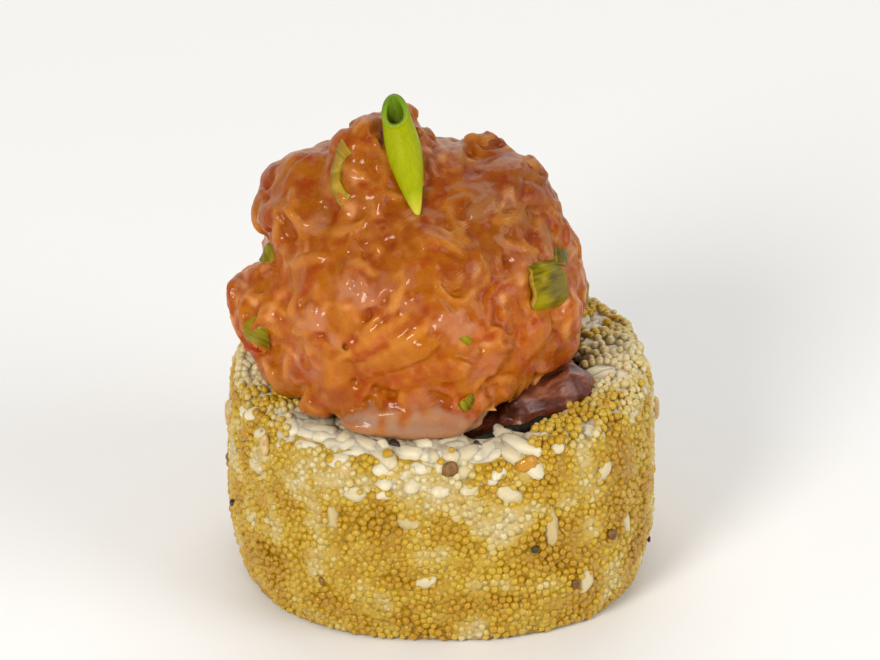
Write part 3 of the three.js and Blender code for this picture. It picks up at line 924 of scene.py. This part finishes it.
def hug(matrix, x, y, z):
    """A point over the heap: x and y along its skin from the matrix's place, and z out of it."""
    surface, normal, _, _ = mound_tree.find_nearest(matrix @ Vector((x, y, 0)))
    return surface + normal * z


def hugging(shape, matrix, half, sink, tilt=0.0):
    """A bit at its true size, bent to hug the heap and sunk into it."""
    points, faces = shape
    return np.array([hug(matrix, x, y, z + x * tilt - sink) for x, y, z in points * np.array(half)]), faces


def make_string(rng):
    """A limp string of minced fish at its true size, curled as it fell."""
    bm = bmesh.new()
    bmesh.ops.create_uvsphere(bm, u_segments=8, v_segments=16, radius=1)
    bmesh.ops.rotate(bm, verts=bm.verts, cent=(0, 0, 0), matrix=Matrix.Rotation(math.pi / 2, 3, "Y"))
    half, radius = rng.uniform(*STRING_HALF_LENGTH), rng.uniform(*STRING_RADIUS)
    curl, wave, phase = rng.gauss(0, 0.28), rng.uniform(0.2, 0.9), rng.uniform(0, 6)
    steps = [-half + 2 * half * (step + 0.5) / STRING_STEPS for step in range(STRING_STEPS)]
    headings = [curl * place + wave * math.sin(1.3 * place + phase) for place in steps]
    across = np.cumsum(np.cos(headings)) * 2 * half / STRING_STEPS
    up = np.cumsum(np.sin(headings)) * 2 * half / STRING_STEPS
    across, up = across - across.mean(), up - up.mean()
    for vert in bm.verts:
        along = vert.co.x * half
        thick = radius * (1 + 0.25 * math.sin(1.7 * along + phase))
        if abs(vert.co.x) < 0.99:
            thick *= (1 - abs(vert.co.x) ** 4) ** 0.4 / math.sqrt(1 - vert.co.x ** 2)
        heading = np.interp(along, steps, headings)
        side = vert.co.y * thick
        vert.co.x = np.interp(along, steps, across) - math.sin(heading) * side
        vert.co.y = np.interp(along, steps, up) + math.cos(heading) * side
        vert.co.z *= thick
    return shape_of(bm)


def seen_from_front(across, up):
    """Where a line of sight from in front and above meets the heap, and the heap's normal."""
    middle = FRONT_MIDDLE + Vector((across, 0, 0)) + up * Vector((0, -FRONT_VIEW.z, FRONT_VIEW.y))
    return mound_tree.ray_cast(middle - FRONT_VIEW * 80, FRONT_VIEW)[:2]


def from_within(direction):
    """Where a ray from the heap's middle leaves it, and the heap's normal."""
    return mound_tree.ray_cast(MOUND_MIDDLE, direction.normalized())[:2]


bm = remeshed(cad_copy("tartare_mound"), MOUND_CORE_VOXEL)
for vert in bm.verts:
    rise = sum(height * (1 - smoothstep(0, reach, (vert.co - middle).length))
               for middle, reach, height in MOUND_BULGES)
    vert.co += (vert.co - MOUND_MIDDLE).normalized() * rise
smooth(bm, MOUND_CALMING)
for vert in bm.verts:
    vert.co += vert.normal * MOUND_SWELL
mound_tree = BVHTree.FromBMesh(bm)
for vert in bm.verts:
    vert.co -= vert.normal * MOUND_CORE_SINK
core = bm

rng = random.Random(21)
kinds = [make_chunk(rng, 0.8, 0.2, 0.2) for _ in range(CHUNK_KINDS)]
kinds += [make_chunk(rng, 0.9, 0.2, 0.6) for _ in range(CHUNK_KINDS)]
kinds += [make_string(rng) for _ in range(4 * CHUNK_KINDS)]
shapes, frames, colours = [], [], []
for count, halves, first_kind, kind_count, depth, palette, grouped in (
    (CHUNK_COUNT, CHUNK_HALF, 0, CHUNK_KINDS, (0.45, 0.8), BIT_COLOURS, False),
    (SHRED_COUNT, SHRED_HALF, CHUNK_KINDS, CHUNK_KINDS, (0.1, 0.7), BIT_COLOURS, False),
    (STRING_COUNT, None, 2 * CHUNK_KINDS, 4 * CHUNK_KINDS, (-1.0, 0.1), STRING_COLOURS, False),
    (SINEW_COUNT, SINEW_SIZE, 2 * CHUNK_KINDS, 4 * CHUNK_KINDS, (-0.5, 0.0), SINEW_COLOURS, True),
):
    for number in range(count):
        height = 1 - 2 * (number + 0.5) / count
        ring = math.sqrt(1 - height * height)
        angle = number * math.pi * (3 - math.sqrt(5)) + rng.gauss(0, 0.08)
        place, normal = from_within(spoke(angle, ring, height + rng.gauss(0, 0.02)))
        if not place or place.z < BITS_ABOVE or normal.z < BITS_OVERHANG:
            continue
        if grouped and noise.noise(place / 3.5 + Vector((57, 0, 0))) < -0.02:
            continue
        half = [rng.uniform(*limits) for limits in halves] if halves else (1, 1, 1)
        thick = half[2] if halves else 0.35
        sink, colour_table = thick * rng.uniform(*depth), palette
        if not halves and noise.noise(place / 4.5 + Vector((31, 0, 0))) > 0.12:
            sink, colour_table = sink + 0.35, BIT_COLOURS
        shares, tints = zip(*colour_table)
        colours.append(rng.choices(tints, shares)[0])
        frames.append(lying(place, normal, rng.uniform(0, 2 * math.pi)))
        kind = kinds[first_kind + rng.randrange(kind_count)]
        shapes.append(hugging(kind, frames[-1], half, sink, rng.gauss(0, 0.05)))
for number, (across, up, half, heading, colour) in enumerate(LARGE_BITS):
    place, normal = seen_from_front(across, up)
    frames.append(lying(place, normal, math.radians(heading)))
    colours.append(colour)
    shapes.append(hugging(kinds[number % (2 * CHUNK_KINDS)], frames[-1], half, -0.25))
for across, up, count, colour in FLECK_GROUPS:
    for _ in range(count):
        place, normal = seen_from_front(across + rng.gauss(0, 1.0), up + rng.gauss(0, 0.8))
        if not place:
            continue
        frames.append(lying(place, normal, rng.uniform(0, math.pi)))
        colours.append(colour)
        half = (rng.uniform(0.7, 1.4), rng.uniform(0.35, 0.6), 0.45)
        kind = kinds[CHUNK_KINDS + rng.randrange(CHUNK_KINDS)]
        shapes.append(hugging(kind, frames[-1], half, rng.uniform(-0.35, -0.15)))
points, faces = make_chunk(rng, 0.85, 0.25, 0.08)
frames.append(Matrix.Translation(LIP_MIDDLE))
colours.append(BARE)
shapes.append((points * np.array(LIP_HALF) + np.array(LIP_MIDDLE), faces))

bits = joined("mound_bits", shapes, [(number, Matrix.Identity(4), 0) for number in range(len(shapes))])
owners = np.concatenate([np.full(len(shape[0]), number) for number, shape in enumerate(shapes)])
bits_tree = KDTree(len(bits.vertices))
for vert in bits.vertices:
    bits_tree.insert(vert.co, vert.index)
bits_tree.balance()

core.from_mesh(bits)
bm = remeshed(core, MOUND_VOXEL)
smooth(bm, 3)
mound = mesh_of("mound_tartare", bm)

count = len(mound.vertices)
nearest = np.array([bits_tree.find(vert.co)[1] for vert in mound.vertices])
owner = owners[nearest]
coordinates = np.empty(count * 3)
mound.vertices.foreach_get("co", coordinates)
coordinates = coordinates.reshape(-1, 3)
normals = np.array([vert.normal[:] for vert in mound.vertices])
ends = np.empty(len(mound.edges) * 2, dtype=np.int32)
mound.edges.foreach_get("vertices", ends)
first, second = ends[::2], ends[1::2]
degree = np.bincount(ends, minlength=count)


def softened(values, rounds):
    """Values at the mound's points, each averaged with its neighbours again and again."""
    for _ in range(rounds):
        columns = [np.bincount(first, column[second], count) + np.bincount(second, column[first], count)
                   for column in values.T]
        values = np.stack(columns, axis=1) / degree[:, None]
    return values


# How far each point lies below its smoothed surroundings: that is where the sauce gathers.
hollow = np.einsum("ij,ij->i", softened(coordinates, 28) - coordinates, normals)

# The muscle fibres of each bit run along it, as fine ridges.
inverse = np.array([np.array(matrix.to_3x3().inverted()) for matrix in frames])
middles = np.array([matrix.translation[:] for matrix in frames])
local = np.einsum("ijk,ik->ij", inverse[owner], coordinates - middles[owner])
fibre = np.array([[noise.noise(Vector((x * 0.25 + 7 * own, y * 1.5, z * 1.5)))]
                  for (x, y, z), own in zip(local, owner)])
fibre = softened(fibre, 2)[:, 0]
coordinates += normals * (0.1 * fibre)[:, None]
coordinates[:, 2] = np.maximum(coordinates[:, 2], MOUND_REST)
mound.vertices.foreach_set("co", coordinates.ravel())
give(mound, "flesh", softened(np.array(colours)[owner], 2).ravel(), "FLOAT_COLOR", "color")
give(mound, "hollow", hollow)
give(mound, "fibre", fibre)
# Painted shade: the mound's colour is darkened on top, most at the right, and at its foot.
give(mound, "shade", [
    1 - (MOUND_TOP_PAINTED_SHADE + MOUND_RIGHT_PAINTED_SHADE * smoothstep(-1, 6, across)) * smoothstep(33, 44, height)
    - MOUND_FOOT_PAINTED_SHADE * (1 - smoothstep(23.5, 28.5, height)) for across, _, height in coordinates
])


def spicy_tuna():
    material, shader = new_material(
        "spicy_tuna", Subsurface_Weight=0.3, Subsurface_Radius=(1.0, 0.4, 0.1),
        Subsurface_Scale=1.1 * MM, Coat_Weight=0.3, Coat_Roughness=0.07,
        Specular_IOR_Level=0.1, Specular_Tint=(1.0, 0.6, 0.3, 1),
    )
    bits = attribute(material, "flesh").outputs
    hollow = attribute(material, "hollow").outputs["Fac"]
    fibre = attribute(material, "fibre").outputs["Fac"]
    pooled = summed(material, hollow, 2.2, speckle(material, 2.6, 3.0), 0.9)
    sauce = times(material, ramp(material, pooled, (0.36, 0.0), (0.68, 0.95)), bits["Alpha"])
    cloud = ramp(material, speckle(material, 5, 2.0), (0.4, 0.0), (0.6, 1.0))
    chilli = mixed(material, cloud, paint(144, 54, 0), paint(170, 88, 0))
    glazed = mixed(material, sauce, bits["Color"], chilli)
    # Painted highlight: the crests, away from the hollows, are paler, and so are the fibres.
    crest_highlight_and_fibre = times(material, summed(material, hollow, -1.1, fibre, 0.4), 1.0, clamp=True)
    glazed = mixed(material, crest_highlight_and_fibre, glazed, paint(192, 118, 38))
    takes = maths(material, "ADD", times(material, bits["Alpha"], 0.7), 0.3)
    for size, low, high, share, tint in (
        (3.4, 0.47, 0.62, 0.65, paint(170, 98, 0)), (2.4, 0.53, 0.65, 0.65, paint(152, 44, 0)),
        (1.5, 0.57, 0.67, 0.36, paint(190, 122, 70)),
    ):
        patch = ramp(material, speckle(material, size), (low, 0.0), (high, share))
        glazed = mixed(material, times(material, patch, takes), glazed, tint)
    # The painted shade multiplies the colour.
    shade = attribute(material, "shade").outputs["Fac"]
    feed(shader, "Base Color", mixed(material, 1.0, glazed, shade, "MULTIPLY"))
    feed(shader, "Roughness", ramp(material, speckle(material, 1.1), (0.3, 0.26), (0.7, 0.44)))
    bumped(material, shader, speckle(material, 0.5, 3.0, 0.6), 0.17)
    return material


add_mesh("mound_tartare", mound, [spicy_tuna()], ["tartare_mound"])

# ---------------------------------------------------------------------------------------------------
# Scallion bits: short rings and slivers of green onion leaf, stirred into the tartare. Most are sunk
# in it, and only their edges and a patch of skin show.
# ---------------------------------------------------------------------------------------------------

# Where a bit lies as seen from in front and above: across, up, its radius, wall, length, arc and heading
# in degrees, and whether it stands on its cut edge or lies on its skin.
BITS = (
    (10.4, -1.5, 2.9, 0.9, 4.8, 180, 84, False), (-18.4, -6.4, 2.2, 0.9, 2.8, 160, 70, False),
    (-7.4, 9.6, 4.1, 1.5, 1.4, 118, 268, True), (2.3, -6.8, 1.2, 0.8, 1.0, 150, 120, False),
    (2.6, -13.2, 1.0, 0.8, 1.1, 140, 30, False),
)
BITS_BEHIND = 11
# The least and most of those behind: radius, wall, length, arc and heading.
BEHIND_LIMITS = ((1.3, 2.7), (0.7, 0.95), (0.9, 3.4), (110, 220), (0, 360))
LEAF_VEINS = 7  # how many times longer a vein's marks are along the leaf than across it


def make_ring(radius, wall, length, arc, slant):
    """Part of a leaf's ring, its axis along Y, which the knife cut straight or on a slant."""
    bm = bmesh.new()
    inner, end = radius - wall, length / 2
    corners = ((radius, -end), (radius, end), (inner, end), (inner, -end))
    bm.faces.new([bm.verts.new((x, y, 0)) for x, y in corners])
    bmesh.ops.spin(bm, geom=bm.verts[:] + bm.edges[:] + bm.faces[:], cent=(0, 0, 0), axis=(0, 1, 0),
                   dvec=(0, 0, 0), angle=math.radians(arc), steps=14)
    upright = Matrix.Rotation(-math.radians(arc) / 2 - math.pi / 2, 3, "Y")
    bmesh.ops.rotate(bm, verts=bm.verts, cent=(0, 0, 0), matrix=upright)
    bmesh.ops.recalc_face_normals(bm, faces=bm.faces)
    for face in bm.faces:
        face.material_index = 1 if abs(face.normal.y) > 0.9 else 0
    for vert in bm.verts:
        ragged = 0.3 * noise.noise(Vector((vert.co.x * 0.9, 20 * slant, 0))) if slant else 0
        vert.co.y *= 1 + ragged - 1.8 * abs(slant) * (vert.co.x / radius) ** 2
        vert.co.y += slant * vert.co.x
    return bm


def leaf(name, dark, lit, size):
    """Green skin with veins along the leaf, size millimetres apart."""
    material, shader = new_material(
        name, Roughness=0.45, Subsurface_Weight=0.15, Subsurface_Radius=(0.6, 1.0, 0.2),
        Subsurface_Scale=0.8 * MM, Specular_IOR_Level=0.18, Specular_Tint=(1.0, 1.0, 0.4, 1),
        Coat_Weight=0.14, Coat_Roughness=0.14,
    )
    veins = add_node(material, "ShaderNodeTexNoise", {
        "Vector": attribute(material, "skin").outputs["Vector"], "Scale": 1 / size, "Detail": 1.0,
    }).outputs["Fac"]
    tone = summed(material, veins, 0.4, speckle(material, 2.6, 1.0), 0.6)
    feed(shader, "Base Color", ramp(material, tone, (0.36, dark), (0.6, lit)))
    bumped(material, shader, veins, 0.06)
    return material


rng = random.Random(33)
bm = bmesh.new()
skins = []  # each point's place on its leaf: round it, and along it with the veins drawn out
spots = [(seen_from_front(across, up), *rest) for across, up, *rest in BITS]
for turn in range(BITS_BEHIND):
    found = from_within(spoke(-0.35 + turn * 0.37, 1, rng.uniform(-0.25, 0.9)))
    sizes = [rng.uniform(*limits) for limits in BEHIND_LIMITS]
    spots.append((found, *sizes, rng.random() < 0.3))
for (place, normal), radius, wall, length, arc, heading, on_edge in spots:
    if not place:
        continue
    slant = 0 if on_edge else rng.choice((-1, 1)) * rng.uniform(0.15, 0.3)
    ring = make_ring(radius, wall, length, arc, slant)
    for vert in ring.verts:
        skins += [radius * math.atan2(vert.co.x, vert.co.z), vert.co.y / LEAF_VEINS, 9 * radius]
    if on_edge:
        ring.transform(Matrix.Rotation(math.pi / 2, 4, "X"))
        ring.transform(Matrix.Translation((0, 0, 0.1 - length / 2)))
    else:
        ring.transform(Matrix.Translation((0, 0, -radius * 0.33)) @ Matrix.Diagonal((1, 1, 0.6, 1)))
    rest, tilt = lying(place, normal, math.radians(heading)), rng.gauss(0, 0.08)
    for vert in ring.verts:
        vert.co = hug(rest, vert.co.x, vert.co.y, vert.co.z + vert.co.x * tilt + (0.7 if on_edge else 0.35))
    part = mesh_of("scallion_bit", ring)
    bm.from_mesh(part)
    bpy.data.meshes.remove(part)
bits = mesh_of("scallion_bits", bm)
give(bits, "skin", skins, "FLOAT_VECTOR", "vector")
add_mesh("scallion_bits", bits, [
    leaf("scallion_chopped", paint(84, 68, 0), paint(140, 124, 0), 0.3),
    leaf("scallion_chopped_edge", paint(134, 104, 14), paint(172, 136, 46), 0.5),
])

# ---------------------------------------------------------------------------------------------------
# Scallion slice: a hollow green onion leaf cut twice on the slant, so that it is a slim pointed tube.
# It is pushed into the peak and leans back, with its upper opening towards the front.
# ---------------------------------------------------------------------------------------------------

SLICE_RADIUS = 1.8
SLICE_WALL = 0.34
SLICE_TOP_TAPER = 0.3
SLICE_HOLLOW_TAPER = 0.55
SLICE_FOOT_TAPER = 0.5
SLICE_HALF_LENGTH = 6.5
SLICE_UPPER_SLANT = math.radians(45)
SLICE_LOWER_SLANT = math.radians(20)
SLICE_LEAN_BACK = math.radians(-30)
SLICE_LEAN_LEFT = math.radians(-15)
SLICE_ROWS = 22
SLICE_STEPS = 48


def scallion_skin(name, dark, lit, tip):
    """Leaf that is darker green towards its upper end, painted shade of its closed hollow, and fades towards
    its tip.
    """
    material, shader = new_material(
        name, Roughness=0.4, Subsurface_Weight=0.2, Subsurface_Radius=(0.6, 1.0, 0.2),
        Subsurface_Scale=0.8 * MM, Specular_IOR_Level=0.18, Specular_Tint=(1.0, 1.0, 0.4, 1),
    )
    along = attribute(material, "along").outputs["Fac"]
    body = mixed(material, speckle(material, 0.9, 3.0, stretch=(3, 3, 0.5)), dark, lit)
    shaded_upper_end = mixed(material, ramp(material, along, (0.7, 0.0), (0.98, 0.9)), body, paint(84, 122, 8))
    foot = ramp(material, along, (0.02, 1.0), (0.2, 0.0))
    feed(shader, "Base Color", mixed(material, foot, shaded_upper_end, tip))
    bumped(material, shader, speckle(material, 0.5, stretch=(3, 3, 0.4)), 0.06)
    return material


bm = bmesh.new()
turned(bm, [(SLICE_RADIUS, row / SLICE_ROWS) for row in range(SLICE_ROWS + 1)]
       + [(SLICE_RADIUS - SLICE_WALL, row / SLICE_ROWS) for row in range(SLICE_ROWS, -1, -1)], SLICE_STEPS)
bmesh.ops.recalc_face_normals(bm, faces=bm.faces)
for face in bm.faces:
    outer = [vert.co.xy.length > SLICE_RADIUS - 0.01 for vert in face.verts]
    face.material_index = 0 if all(outer) else 2 if not any(outer) else 1
for vert in bm.verts:
    top = SLICE_HALF_LENGTH - (SLICE_RADIUS - vert.co.y) / math.tan(SLICE_UPPER_SLANT)
    bottom = -SLICE_HALF_LENGTH + (vert.co.y + SLICE_RADIUS) / math.tan(SLICE_LOWER_SLANT)
    vert.co.z = bottom + vert.co.z * (top - bottom)
    inside = vert.co.xy.length < SLICE_RADIUS - 0.01
    vert.co.xy *= 1 - SLICE_FOOT_TAPER * smoothstep(-1, SLICE_HALF_LENGTH, -vert.co.z)
    taper = SLICE_HOLLOW_TAPER if inside else SLICE_TOP_TAPER
    vert.co.xy *= 1 - taper * smoothstep(0.5, SLICE_HALF_LENGTH, vert.co.z)
along = [(vert.co.z + SLICE_HALF_LENGTH) / (2 * SLICE_HALF_LENGTH) for vert in bm.verts]
lean = Matrix.Rotation(SLICE_LEAN_LEFT, 3, "Y") @ Matrix.Rotation(SLICE_LEAN_BACK, 3, "X")
bmesh.ops.rotate(bm, verts=bm.verts, cent=(0, 0, 0), matrix=lean)
low, high = (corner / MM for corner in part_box("scallion_slice"))
own_low = Vector([min(vert.co[axis] for vert in bm.verts) for axis in range(3)])
own_high = Vector([max(vert.co[axis] for vert in bm.verts) for axis in range(3)])
bmesh.ops.translate(bm, verts=bm.verts, vec=Vector(((low.x + high.x - own_low.x - own_high.x) / 2,
                                                    low.y - own_low.y, low.z - own_low.z)))
garnish = mesh_of("scallion_garnish", bm)
give(garnish, "along", along)
add_mesh("scallion_garnish", garnish, [
    scallion_skin("scallion_outside", paint(124, 138, 0), paint(164, 163, 0), paint(192, 184, 56)),
    scallion_skin("scallion_cut", paint(128, 156, 30), paint(160, 178, 56), paint(220, 208, 160)),
    # The inside of the tube is painted dark: painted shade in the hollow.
    scallion_skin("scallion_hollow_painted_shade", paint(66, 76, 4), paint(96, 102, 14), paint(170, 170, 90)),
], ["scallion_slice"])

# ---------------------------------------------------------------------------------------------------
# The studio: a plain pale floor that sweeps up at its far edge and glows there, where the lights don't
# reach. A soft key light stands at the front left, with a fill, a back light and soft light all round,
# and the camera is in front and a little above.
# ---------------------------------------------------------------------------------------------------

CAMERA_DISTANCE = 0.83  # in metres, like all that is in the studio
CAMERA_LENS = 329
CAMERA_TARGET = Vector((0, 0, 0.0255))
FLOOR_RADIUS = 2.8
FLOOR_EDGE = 0.6  # how high it sweeps up
FLOOR_SWEEP = 0.5
FLOOR_GLOW = 0.5
FLOOR_GLOW_FROM, FLOOR_GLOW_FULL = 0.3, 0.95
WORLD_LIGHT = 0.355
# Azimuth, with 0 in front and 90 to the right, elevation, distance, size, power and colour.
LIGHTS = {
    "key": (-28, 30, 0.6, 0.2, 2.46, (1.0, 0.97, 0.92)),
    "fill": (62, 28, 0.7, 0.5, 2.2, (1.0, 0.99, 0.96)),
    "back": (180, 40, 0.8, 0.9, 3.0, (1.0, 0.97, 0.92)),
}


def studio_floor():
    """Pale, and lit from within where the lights don't reach, so that it stays pale to its far edge."""
    material, shader = new_material(
        "floor_white", Base_Color=(0.86, 0.86, 0.86, 1), Roughness=0.7, Emission_Color=(1, 1, 1, 1),
    )
    far = add_node(
        material, "ShaderNodeVectorMath", {0: object_place(material)}, operation="LENGTH",
    ).outputs["Value"]
    glow = ramp(material, far, (FLOOR_GLOW_FROM, 0.0), (FLOOR_GLOW_FULL, FLOOR_GLOW))
    feed(shader, "Emission Strength", glow)
    return material


bm = bmesh.new()
bmesh.ops.create_circle(bm, cap_ends=True, segments=96, radius=FLOOR_RADIUS)
rim = bm.edges[:]
raised = bmesh.ops.extrude_edge_only(bm, edges=rim)["geom"]
raised = [part for part in raised if isinstance(part, bmesh.types.BMVert)]
bmesh.ops.translate(bm, verts=raised, vec=(0, 0, FLOOR_EDGE))
bmesh.ops.bevel(bm, geom=rim, offset=FLOOR_SWEEP, segments=12, profile=0.5, affect="EDGES", material=-1)
bmesh.ops.recalc_face_normals(bm, faces=bm.faces)
for face in bm.faces:
    face.smooth = True
floor_mesh = mesh_of("floor", bm)
floor_mesh.materials.append(studio_floor())
floor = bpy.data.objects.new("floor", floor_mesh)
bpy.context.scene.collection.objects.link(floor)

# Each light is a soft disk that faces the roll.
for name, (azimuth, elevation, distance, size, power, colour) in LIGHTS.items():
    data = bpy.data.lights.new(name, "AREA")
    data.shape = "DISK"
    data.size = size
    data.energy = power
    data.color = colour
    light = bpy.data.objects.new(name, data)
    angle, height = math.radians(azimuth), math.radians(elevation)
    level = math.cos(height)
    direction = Vector((math.sin(angle) * level, -math.cos(angle) * level, math.sin(height)))
    light.location = CAMERA_TARGET + direction * distance
    light.rotation_euler = direction.to_track_quat("Z", "Y").to_euler()
    bpy.context.scene.collection.objects.link(light)

world = bpy.data.worlds.new("studio")
bpy.context.scene.world = world
world.use_nodes = True
background = world.node_tree.nodes["Background"]
background.inputs["Color"].default_value = (1, 1, 1, 1)
background.inputs["Strength"].default_value = WORLD_LIGHT

camera_data = bpy.data.cameras.new("camera")
camera_data.lens = CAMERA_LENS
camera_data.clip_start = 0.01
camera = bpy.data.objects.new("camera", camera_data)
towards = -FRONT_VIEW
camera.location = CAMERA_TARGET + towards * CAMERA_DISTANCE
camera.rotation_euler = towards.to_track_quat("Z", "Y").to_euler()
bpy.context.scene.collection.objects.link(camera)
bpy.context.scene.camera = camera
bpy.context.scene.view_settings.view_transform = "Standard"
